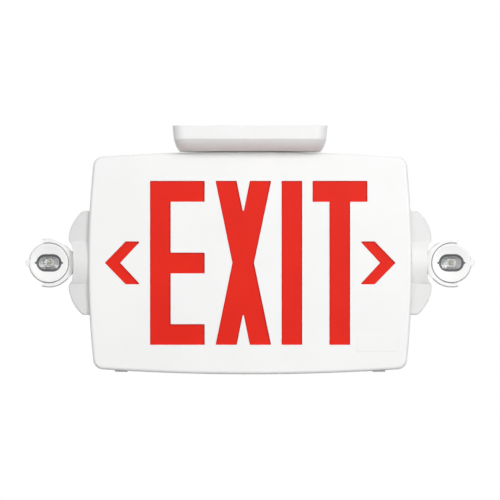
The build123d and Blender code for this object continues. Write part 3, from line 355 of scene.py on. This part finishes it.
# Every imported node takes the finish of its slot; the lamp chips have a tint of their own, and the brackets
# take a darker copy of the white moulding, which is painted shade
slot_of = {}
for entry in frame["record"]["materials"]:
    for node_name in entry.get("nodes", []):
        slot_of[node_name] = entry["slot"]
for node_name, node in frame["nodes"].items():
    slot_name = slot_of.get(node_name) or node.data.materials[0].name.split(".")[0]
    if node_name.endswith("lamp_chip"):
        slot_name = "lamp_chip"
    # the brackets take the darker white, painted shade
    if node_name.endswith("lamp_bracket"):
        slot_name = "bracket_painted_shade"
    for k in range(len(node.material_slots)):
        node.material_slots[k].material = finishes[slot_name]


def make_mesh(name, points, faces, smooth, body, slot, finish=None):
    """A piece from its points (an n by 3 array) and faces; flat faces stay flat where smooth is False."""
    mesh = bpy.data.meshes.new(name)
    mesh.from_pydata(points.tolist(), [], [list(map(int, f)) for f in faces])
    mesh.validate()
    mesh.polygons.foreach_set("use_smooth", np.asarray(smooth, bool))
    mesh.materials.append(finishes[finish or slot])
    piece = bpy.data.objects.new(name, mesh)
    bpy.context.scene.collection.objects.link(piece)
    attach(piece, body)
    return piece


def skin(rows, closed=True):
    """Quads between rows of points: row k joins row k + 1, and the last column joins the first."""
    count, width = rows
    a = np.arange(count - 1)[:, None] * width + np.arange(width)[None, :]
    step = np.roll(a, -1, axis=1) if closed else a + 1
    quads = np.stack([a, step, step + width, a + width], axis=-1)
    if not closed:
        quads = quads[:, :-1]
    return quads.reshape(-1, 4)


def bowed_edge():
    """The sign's outline and its outward normals, anticlockwise as the viewer sees it.
    Each side is an arc of a large circle, and each corner a small arc that touches two of them,
    so the outline moved inwards by d is the point minus d times its normal."""
    top_chord = half_width - side_bow
    side_chord = half_height - top_bow
    top_r = (top_chord**2 + top_bow**2) / (2 * top_bow)
    side_r = (side_chord**2 + side_bow**2) / (2 * side_bow)
    top_centre = np.array([0.0, half_height - top_r])
    side_centre = np.array([half_width - side_r, 0.0])
    between = side_centre - top_centre
    span = np.linalg.norm(between)
    reach_top = top_r - corner_r
    reach_side = side_r - corner_r
    along = (reach_top**2 - reach_side**2 + span**2) / (2 * span)
    across = math.sqrt(reach_top**2 - along**2)
    unit = between / span
    corner = top_centre + along * unit + across * np.array([-unit[1], unit[0]])
    if corner[1] < 0:
        corner = top_centre + along * unit - across * np.array([-unit[1], unit[0]])
    top_turn = math.atan2(*(corner - top_centre)[::-1])
    side_turn = math.atan2(*(corner - side_centre)[::-1])
    angles = [np.linspace(0, side_turn, 20)[:-1], np.linspace(side_turn, top_turn, 13)[:-1],
              np.linspace(top_turn, math.pi / 2, 28)[:-1]]
    centres = [side_centre, corner, top_centre]
    radii = [side_r, corner_r, top_r]
    points, normals = [], []
    for turn, centre, radius in zip(angles, centres, radii):
        ray = np.stack([np.cos(turn), np.sin(turn)], axis=1)
        points.append(centre + radius * ray)
        normals.append(ray)
    points = np.concatenate(points)
    normals = np.concatenate(normals)
    top_point, top_normal = np.array([[0.0, half_height]]), np.array([[0.0, 1.0]])
    left = np.array([-1.0, 1.0])
    half = np.concatenate([points, top_point, points[:0:-1] * left])
    half_normals = np.concatenate([normals, top_normal, normals[:0:-1] * left])
    return np.concatenate([half, -half]), np.concatenate([half_normals, -half_normals])


def rounded_polygon(corners, radius, steps=5):
    """A polygon with each corner drawn as an arc of the radius, and the normals that point out of it.
    An arc sits on the corner's bisector; at a corner that turns inwards its normals are reversed."""
    corners = np.array(corners, float)
    before = corners - np.roll(corners, 1, axis=0)
    after = np.roll(corners, -1, axis=0) - corners
    before /= np.linalg.norm(before, axis=1)[:, None]
    after /= np.linalg.norm(after, axis=1)[:, None]
    turn = before[:, 0] * after[:, 1] - before[:, 1] * after[:, 0]
    bend = np.arctan2(turn, (before * after).sum(1))
    normal_in = np.stack([before[:, 1], -before[:, 0]], axis=1)
    sign = np.sign(bend)
    setback = radius * np.tan(np.abs(bend) / 2)
    arc_centre = corners - before * setback[:, None] - normal_in * (radius * sign)[:, None]
    share = np.linspace(0, 1, steps + 1)[None, :]
    angle = np.arctan2(normal_in[:, 1], normal_in[:, 0])[:, None] + bend[:, None] * share
    normals = np.stack([np.cos(angle), np.sin(angle)], axis=-1)
    points = arc_centre[:, None, :] + normals * (radius * sign)[:, None, None]
    return points.reshape(-1, 2), normals.reshape(-1, 2)


# The legend's letters and the two chevrons, in millimetres from the sign's centre
letter_e = [
    (-93.6, -76.6), (-42.6, -76.6), (-42.6, -57.4), (-74.4, -57.4), (-74.4, -9.8), (-42.6, -9.8),
    (-42.6, 9.5), (-74.4, 9.5), (-74.4, 57.2), (-42.6, 57.2), (-42.6, 76.6), (-93.6, 76.6),
]
letter_x = [
    (-32.3, -76.6), (-12.6, -76.6), (-6.5, -46.2), (-0.3, -76.6), (19.5, -76.6), (3.5, 0.0),
    (19.6, 76.6), (-0.3, 76.6), (-6.5, 45.8), (-12.7, 76.6), (-32.4, 76.6), (-16.6, 0.0),
]
letter_i = [(29.4, -76.6), (48.6, -76.6), (48.6, 76.6), (29.4, 76.6)]
letter_t = [
    (74.1, -76.6), (93.4, -76.6), (93.4, 57.1), (109.6, 57.1), (109.6, 76.6), (58.3, 76.6),
    (58.3, 57.1), (74.1, 57.1),
]
chevron = [(135.9, 0.0), (116.5, 20.0), (103.0, 20.0), (121.5, 0.0), (103.0, -20.0), (116.5, -20.0)]
left_chevron = [(-x, z) for x, z in reversed(chevron)]
openings = [letter_e, letter_x, letter_i, letter_t, chevron, left_chevron]
letter_corner_r = 0.7 * mm
cut_edge_r = 0.4 * mm


def inside(points, loops):
    """True where a point lies inside an odd number of the loops, by counting crossings of a ray."""
    odd = np.zeros(len(points), bool)
    for loop in loops:
        x0, z0 = loop[:, 0], loop[:, 1]
        x1, z1 = np.roll(x0, -1), np.roll(z0, -1)
        px, pz = points[:, 0:1], points[:, 1:2]
        spans = (z0 > pz) != (z1 > pz)
        rise = np.where(z1 == z0, 1.0, z1 - z0)
        at = x0 + (pz - z0) * (x1 - x0) / rise
        odd ^= (np.sum(spans & (px < at), axis=1) % 2).astype(bool)
    return odd


def plate_triangles(loops):
    """Triangles that fill the first loop and leave the others open; indices follow the loops in order."""
    points = np.concatenate(loops)
    edges, start = [], 0
    for loop in loops:
        count = len(loop)
        edges += [(start + k, start + (k + 1) % count) for k in range(count)]
        start += count
    result = delaunay_2d_cdt([Vector(p) for p in points], edges, [], 0, 1e-7, True)
    origin = [ids[0] for ids in result[3]]
    triangles = np.array([[origin[v] for v in f] for f in result[2]])
    keep = inside(points[triangles].mean(axis=1), loops)
    return triangles[keep]


def front_face():
    """The stencil face: a shallow bowed cover whose front edge is a quarter round, with the letters and
    chevrons cut through. Every wall is a loop of the outline moved along its normals, row by row."""
    edge, edge_normal = bowed_edge()
    corner = np.linspace(0, math.pi / 2, 9)
    profile = [(0.0, skirt_back_y), (0.0, skirt_fold_y)]
    for t in corner:
        profile.append((face_edge_r * (1 - math.cos(t)), front_y + face_edge_r * (1 - math.sin(t))))
    inner = [(face_wall, front_y + face_thickness), (face_wall, skirt_back_y)]
    points, faces, smooth = [], [], []
    total = 0

    def add_rows(rows, flat_rows=()):
        nonlocal total
        count, width = len(rows), len(rows[0])
        quads = skin((count, width)) + total
        points.append(np.concatenate(rows))
        faces.extend(quads)
        smooth.extend((k // width) not in flat_rows for k in range(len(quads)))
        first, last = total, total + (count - 1) * width
        total += count * width
        return first, last, width

    def at(inset, y):
        flat = edge - inset * edge_normal
        return np.stack([flat[:, 0], np.full(len(flat), y), flat[:, 1] + centre_z], axis=1)

    outer_rows = [at(inset, y) for inset, y in profile]
    inner_rows = [at(inset, y) for inset, y in inner]
    first, front_loop, width = add_rows(outer_rows, flat_rows=())
    back_loop, last, _ = add_rows(inner_rows, flat_rows=(0,))
    ring = np.arange(width)
    step = np.roll(ring, -1)
    faces.extend(np.stack([last + ring, last + step, first + step, first + ring], axis=1))
    smooth.extend([False] * width)

    front_loops, back_loops = [edge - face_edge_r * edge_normal], [edge - face_wall * edge_normal]
    front_ids, back_ids = [front_loop + ring], [back_loop + ring]
    arc = np.linspace(0, math.pi / 2, 5)
    for corners in openings:
        cut, out = rounded_polygon(np.array(corners) * mm, letter_corner_r)
        rows = []
        for t in arc:
            flat = cut + cut_edge_r * (1 - math.sin(t)) * out
            y = front_y + cut_edge_r * (1 - math.cos(t))
            rows.append(np.stack([flat[:, 0], np.full(len(flat), y), flat[:, 1] + centre_z], axis=1))
        back_y = front_y + face_thickness
        rows.append(np.stack([cut[:, 0], np.full(len(cut), back_y), cut[:, 1] + centre_z], axis=1))
        hole_front, hole_back, hole_width = add_rows(rows)
        hole_ring = np.arange(hole_width)
        front_loops.append(cut + cut_edge_r * out)
        back_loops.append(cut)
        front_ids.append(hole_front + hole_ring)
        back_ids.append(hole_back + hole_ring)
    front_ids, back_ids = np.concatenate(front_ids), np.concatenate(back_ids)
    front_plate = front_ids[plate_triangles(front_loops)]
    back_plate = back_ids[plate_triangles(back_loops)][:, ::-1]
    faces.extend(front_plate)
    faces.extend(back_plate)
    smooth.extend([False] * (len(front_plate) + len(back_plate)))
    piece = make_mesh("stencil_face", np.concatenate(points), faces, smooth, "housing", "white_moulding")
    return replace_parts(piece, "front_face")


def pad(corners, corner_radius, y_back, y_front, edge_r):
    """A flat pad: the rounded polygon carried forwards, its front edge a quarter round drawn in along
    the normals."""
    flat, out = rounded_polygon(np.array(corners) * mm, corner_radius)
    arc = np.linspace(0, math.pi / 2, 5)
    insets = [0.0] + [edge_r * (1 - math.cos(t)) for t in arc]
    depths = [y_back] + [y_front + edge_r * (1 - math.sin(t)) for t in arc]
    rows = []
    for inset, y in zip(insets, depths):
        row = flat - inset * out
        rows.append(np.stack([row[:, 0], np.full(len(row), y), row[:, 1] + centre_z], axis=1))
    points = np.concatenate(rows)
    width = len(flat)
    quads = skin((len(rows), width))
    first = np.arange(width)
    last = first + (len(rows) - 1) * width
    faces = [list(q) for q in quads] + [list(last), list(first[::-1])]
    smooth = [True] * len(quads) + [False, False]
    return points, faces, smooth


# The bare plate and the release tabs, in millimetres from the sign's centre
plate_left, plate_right = 99.3, 136.9
plate_low, plate_high = -83.0, -67.4
plate_corner_r = 1.6 * mm
plate_proud = 0.25 * mm
plate_sunk = 0.1 * mm
tab_x = 120.6
tab_half_width = 6
tab_height = 2.5
tab_drop = 1.2
tab_corner_r = 0.6 * mm
tab_edge_r = 0.4 * mm
tab_thickness = 3.0 * mm


def bare_plate():
    """The plate's place at the lower right of the face, left bare: a quarter of a millimetre proud."""
    corners = [(plate_left, plate_low), (plate_right, plate_low), (plate_right, plate_high),
               (plate_left, plate_high)]
    points, faces, smooth = pad(corners, plate_corner_r, front_y + plate_sunk, front_y - plate_proud,
                                plate_proud)
    return make_mesh("bare_plate", points, faces, smooth, "housing", "white_moulding")


def release_tabs():
    """The two finger tabs under the face's bottom edge, where a coin opens it."""
    all_points, all_faces, all_smooth = [], [], []
    for side in (-1, 1):
        left, right = side * tab_x - tab_half_width, side * tab_x + tab_half_width
        low = -half_height / mm + top_bow / mm * (tab_x * mm / half_width) ** 2 - tab_drop
        high = low + tab_height
        corners = [(left, low), (right, low), (right, high), (left, high)]
        points, faces, smooth = pad(corners, tab_corner_r, skirt_back_y, skirt_back_y - tab_thickness,
                                    tab_edge_r)
        start = sum(len(p) for p in all_points)
        all_points.append(points)
        all_faces += [[start + v for v in f] for f in faces]
        all_smooth += smooth
    points = np.concatenate(all_points)
    return make_mesh("release_tabs", points, all_faces, all_smooth, "housing", "white_moulding")


def face_fittings():
    """The snap hooks and pegs behind the face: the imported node's triangles that lie behind its plate
    and further in than its skirt, welded where their corners meet."""
    mesh = frame["nodes"]["front_face"].data
    spots = np.empty(len(mesh.vertices) * 3, np.float32)
    mesh.vertices.foreach_get("co", spots)
    spots = spots.reshape(-1, 3)
    mesh.calc_loop_triangles()
    triangles = np.empty(len(mesh.loop_triangles) * 3, np.int32)
    mesh.loop_triangles.foreach_get("vertices", triangles)
    triangles = triangles.reshape(-1, 3)
    corners = spots[triangles]
    plate_back_y = front_y + face_thickness + 0.01 * mm
    skirt_inset = face_wall + 0.5 * mm
    behind = corners[:, :, 1].max(axis=1) > plate_back_y
    middle = corners.mean(axis=1)
    inner_x = half_width - side_bow * (middle[:, 2] - centre_z) ** 2 / (half_height - top_bow) ** 2
    inner_z = half_height - top_bow * middle[:, 0] ** 2 / (half_width - side_bow) ** 2
    inset = np.minimum(inner_x - abs(middle[:, 0]), inner_z - abs(middle[:, 2] - centre_z))
    kept = triangles[behind & (inset > skirt_inset)]
    welded, index = np.unique(np.round(spots, 6), axis=0, return_inverse=True)
    faces = index.reshape(-1)[kept]
    faces = faces[(faces != np.roll(faces, 1, axis=1)).all(axis=1)]
    used, renumbered = np.unique(faces, return_inverse=True)
    faces = renumbered.reshape(-1, 3)
    flat = [False] * len(faces)
    return make_mesh("face_hooks_and_pegs", welded[used], faces, flat, "housing", "white_moulding")


# The window of a lamp: a slot with two pointed notches, and what is seen in it
window_half_straight = 3.6 * mm
window_end_r = 8.2 * mm
notch_reach = 9.33 * mm
notch_slope = 0.681
notch_half_height = 3.2 * mm
turns = np.linspace(0, 2 * math.pi, 181)[:-1]
across = np.abs(np.cos(turns))
upright = np.abs(np.sin(turns))


def window_reach():
    """How far the window's edge is from its centre at each turn: a slot with straight sides and round
    ends, or the notch where that reaches further."""
    flat = window_end_r / np.maximum(upright, 1e-6)
    chord = window_end_r**2 - (window_half_straight * upright) ** 2
    end = window_half_straight * across + np.sqrt(np.maximum(chord, 0))
    slot = np.where(flat * across <= window_half_straight, flat, end)
    notch = notch_reach / (upright + notch_slope * across)
    return np.where(notch * upright < notch_half_height, np.maximum(slot, notch), slot)


def oval_reach(half_long, half_high, power):
    """A squared oval: the reach at which the two shares, each raised to the power, add up to one."""
    return ((across / half_long) ** power + (upright / half_high) ** power) ** (-1 / power)


def ring_piece(name, centre, reaches, depths, body, slot, finish=None):
    """Rows of points round a lamp's axis: each row has its own reach at every turn and its own depth,
    and the last row joins the first, so the band is closed."""
    rows = []
    for reach, y in zip(reaches, depths):
        x, z = centre[0] + reach * np.cos(turns), centre[1] + reach * np.sin(turns)
        rows.append(np.stack([x, np.full(len(turns), y), z], axis=1))
    total = len(rows) * len(turns)
    quads = skin((len(rows) + 1, len(turns))) % total
    return make_mesh(name, np.concatenate(rows), quads, [True] * len(quads), body, slot, finish)


# the painted shade band round each lens: its inner squared oval, and its gap to the window's wall
shade_rim_inner_size = (9.5 * mm, 6.25 * mm)
shade_rim_gap = 0.05 * mm
mouth_size = (12.2 * mm, 8.6 * mm)
throat_size = (5.2 * mm, 4.7 * mm)
bowl_wall = 0.8 * mm
bowl_gap = 0.02 * mm
bowl_steps = 5
step_swing = 0.032
bowl_curve = 0.8


def lens_shade_rim(side):
    """A dark band round the clear lens that paints the shade of the window's depth and of the lens's dark
    edge: a low rounded band from the window's wall in to a squared oval.
    """
    low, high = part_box(f"{side}_lamp_lens")
    centre = ((low.x + high.x) / 2, (low.z + high.z) / 2)
    outer = window_reach() - shade_rim_gap
    inner = oval_reach(*shade_rim_inner_size, 2.6)
    share = np.array([0.0, 0.0, 0.03, 0.10, 0.3, 0.6, 0.85, 1.0, 1.0])
    lift = np.array([0.0, 0.45, 0.56, 0.60, 0.52, 0.36, 0.2, 0.06, 0.0]) * mm
    reaches = [outer + (inner - outer) * t for t in share]
    depths = [low.y - 0.01 * mm - h for h in lift]
    return ring_piece(f"{side}_lens_shade_rim", centre, reaches, depths, f"{side}_head", "black_plastic",
                      "rim_plastic")


def stepped_reflector(side):
    """The bright bowl behind the lens: a mouth drawn in to a throat, with five shallow steps on the way,
    and an outer wall that follows it."""
    low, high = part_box(f"{side}_lamp_reflector")
    centre = ((low.x + high.x) / 2, (low.z + high.z) / 2)
    t = np.linspace(0, 1, 41)
    depth = high.y - low.y - 2 * bowl_gap
    drop = t + step_swing * np.sin(2 * math.pi * bowl_steps * t)
    mouth = oval_reach(*mouth_size, 2.8)
    throat = oval_reach(*throat_size, 2.6)
    inner = [(mouth - bowl_wall) + (throat - mouth) * k**bowl_curve for k in t]
    outer = [mouth + (throat - mouth) * k**bowl_curve for k in t[::-1]]
    depths = list(low.y + bowl_gap + depth * drop)
    outer_depths = list(low.y + bowl_gap + depth * t[::-1])
    piece = ring_piece(f"{side}_stepped_reflector", centre, outer + inner, outer_depths + depths,
                       f"{side}_head", "bright_reflector")
    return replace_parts(piece, f"{side}_lamp_reflector")


front_face()
bare_plate()
release_tabs()
face_fittings()
for side in ("left", "right"):
    lens_shade_rim(side)
    stepped_reflector(side)

# Camera at the photograph's angle: straight on, from far away
camera_distance = 8.0
view_side = -0.00014
view_height = -0.11594
view_width = 0.4675
camera_data = bpy.data.cameras.new("camera")
camera_data.lens = camera_data.sensor_width * camera_distance / view_width
camera = bpy.data.objects.new("camera", camera_data)
camera.location = (view_side, front_y - camera_distance, view_height)
camera.rotation_euler = (math.pi / 2, 0, 0)
bpy.context.scene.collection.objects.link(camera)
bpy.context.scene.camera = camera


lamp_aim = (0, 0, -0.12)


def soft_lamp(name, place_at, size, power):
    """A round soft lamp that looks at the middle of the light."""
    data = bpy.data.lights.new(name, "AREA")
    data.shape = "DISK"
    data.size = size
    data.energy = power
    lamp = bpy.data.objects.new(name, data)
    lamp.location = place_at
    lamp.rotation_euler = (Vector(lamp_aim) - Vector(place_at)).to_track_quat("-Z", "Y").to_euler()
    bpy.context.scene.collection.objects.link(lamp)


soft_lamp("key_lamp", (0.8, -2.0, 0.30), 0.9, 27.6)
soft_lamp("fill_lamp", (-0.9, -2.0, 0.26), 1.2, 12.8)
soft_lamp("rear_lamp", (0.4, 1.9, 0.5), 1.2, 14.0)


def see_white(tree, shade, on_surface):
    """White where the camera, a reflection or a lens looks, the given shade for all other light: the
    mask, and a mix of the two that is still to be masked."""
    path = tree.nodes.new("ShaderNodeLightPath")
    looks = maths(tree, "MAXIMUM", path.outputs["Is Camera Ray"], path.outputs["Is Transmission Ray"])
    looks = maths(tree, "MAXIMUM", looks, path.outputs["Is Glossy Ray"])
    white = place(tree, "ShaderNodeEmission" if on_surface else "ShaderNodeBackground",
                  Color=(1.0, 1.0, 1.0, 1.0), Strength=1.0)
    mix = tree.nodes.new("ShaderNodeMixShader")
    join(tree, shade, mix.inputs[1])
    join(tree, white.outputs[0], mix.inputs[2])
    return looks, mix


# Studio light from all round, as shares that grow along an axis: from above, from in front, from behind
world = bpy.data.worlds.new("studio")
bpy.context.scene.world = world
world.use_nodes = True
tree = world.node_tree
ambient = tree.nodes["Background"]
ambient.inputs["Color"].default_value = (1.0, 1.0, 1.0, 1.0)
looking = place(tree, "ShaderNodeSeparateXYZ")
join(tree, place(tree, "ShaderNodeTexCoord").outputs["Generated"], looking.inputs[0])
strength = 0.0
for axis, least, most, full in ((2, -0.7, 0.4, 0.22), (1, 0.0, -1.0, 0.20), (1, -0.35, 0.3, 0.75)):
    share = place(tree, "ShaderNodeMapRange", From_Min=least, From_Max=most, To_Min=0.0, To_Max=full)
    join(tree, looking.outputs[axis], share.inputs["Value"])
    strength = maths(tree, "ADD", share.outputs[0], strength)
join(tree, strength, ambient.inputs["Strength"])
looks, mix = see_white(tree, ambient.outputs[0], False)
join(tree, looks, mix.inputs[0])
join(tree, mix.outputs[0], tree.nodes["World Output"].inputs["Surface"])

# Floor: pale, keeps the shadow under the object, fades to the white of the backdrop, clear from below
floor_z = -0.52
floor_reach = 30.0
fade_from, fade_to = 0.62, 1.5
floor_mesh = bpy.data.meshes.new("floor")
floor_corners = [(x * floor_reach, y * floor_reach, floor_z) for x, y in ((-1, -1), (1, -1), (1, 1), (-1, 1))]
floor_mesh.from_pydata(floor_corners, [], [(0, 1, 2, 3)])
floor = bpy.data.objects.new("floor", floor_mesh)
bpy.context.scene.collection.objects.link(floor)
floor_paint, tree, surface = shader("floor_paint")
floor_mesh.materials.append(floor_paint)
surface.inputs["Roughness"].default_value = 0.9
bounce = place(tree, "ShaderNodeMix", data_type="RGBA")
bounce.inputs[6].default_value = (0.86, 0.86, 0.86, 1.0)
bounce.inputs[7].default_value = (0.15, 0.15, 0.15, 1.0)
join(tree, tree.nodes.new("ShaderNodeLightPath").outputs["Is Diffuse Ray"], bounce.inputs[0])
join(tree, bounce.outputs[2], surface.inputs["Base Color"])
away = place(tree, "ShaderNodeVectorMath", operation="LENGTH")
join(tree, place(tree, "ShaderNodeTexCoord").outputs["Object"], away.inputs[0])
fade = place(tree, "ShaderNodeMapRange", From_Min=fade_from, From_Max=fade_to,
             interpolation_type="SMOOTHSTEP")
join(tree, away.outputs["Value"], fade.inputs["Value"])
looks, mix = see_white(tree, surface.outputs[0], True)
join(tree, maths(tree, "MULTIPLY", looks, fade.outputs[0]), mix.inputs[0])
from_below = tree.nodes.new("ShaderNodeMixShader")
join(tree, tree.nodes.new("ShaderNodeNewGeometry").outputs["Backfacing"], from_below.inputs[0])
join(tree, mix.outputs[0], from_below.inputs[1])
join(tree, tree.nodes.new("ShaderNodeBsdfTransparent").outputs[0], from_below.inputs[2])
join(tree, from_below.outputs[0], tree.nodes["Material Output"].inputs["Surface"])

bpy.context.scene.view_settings.view_transform = "Standard"
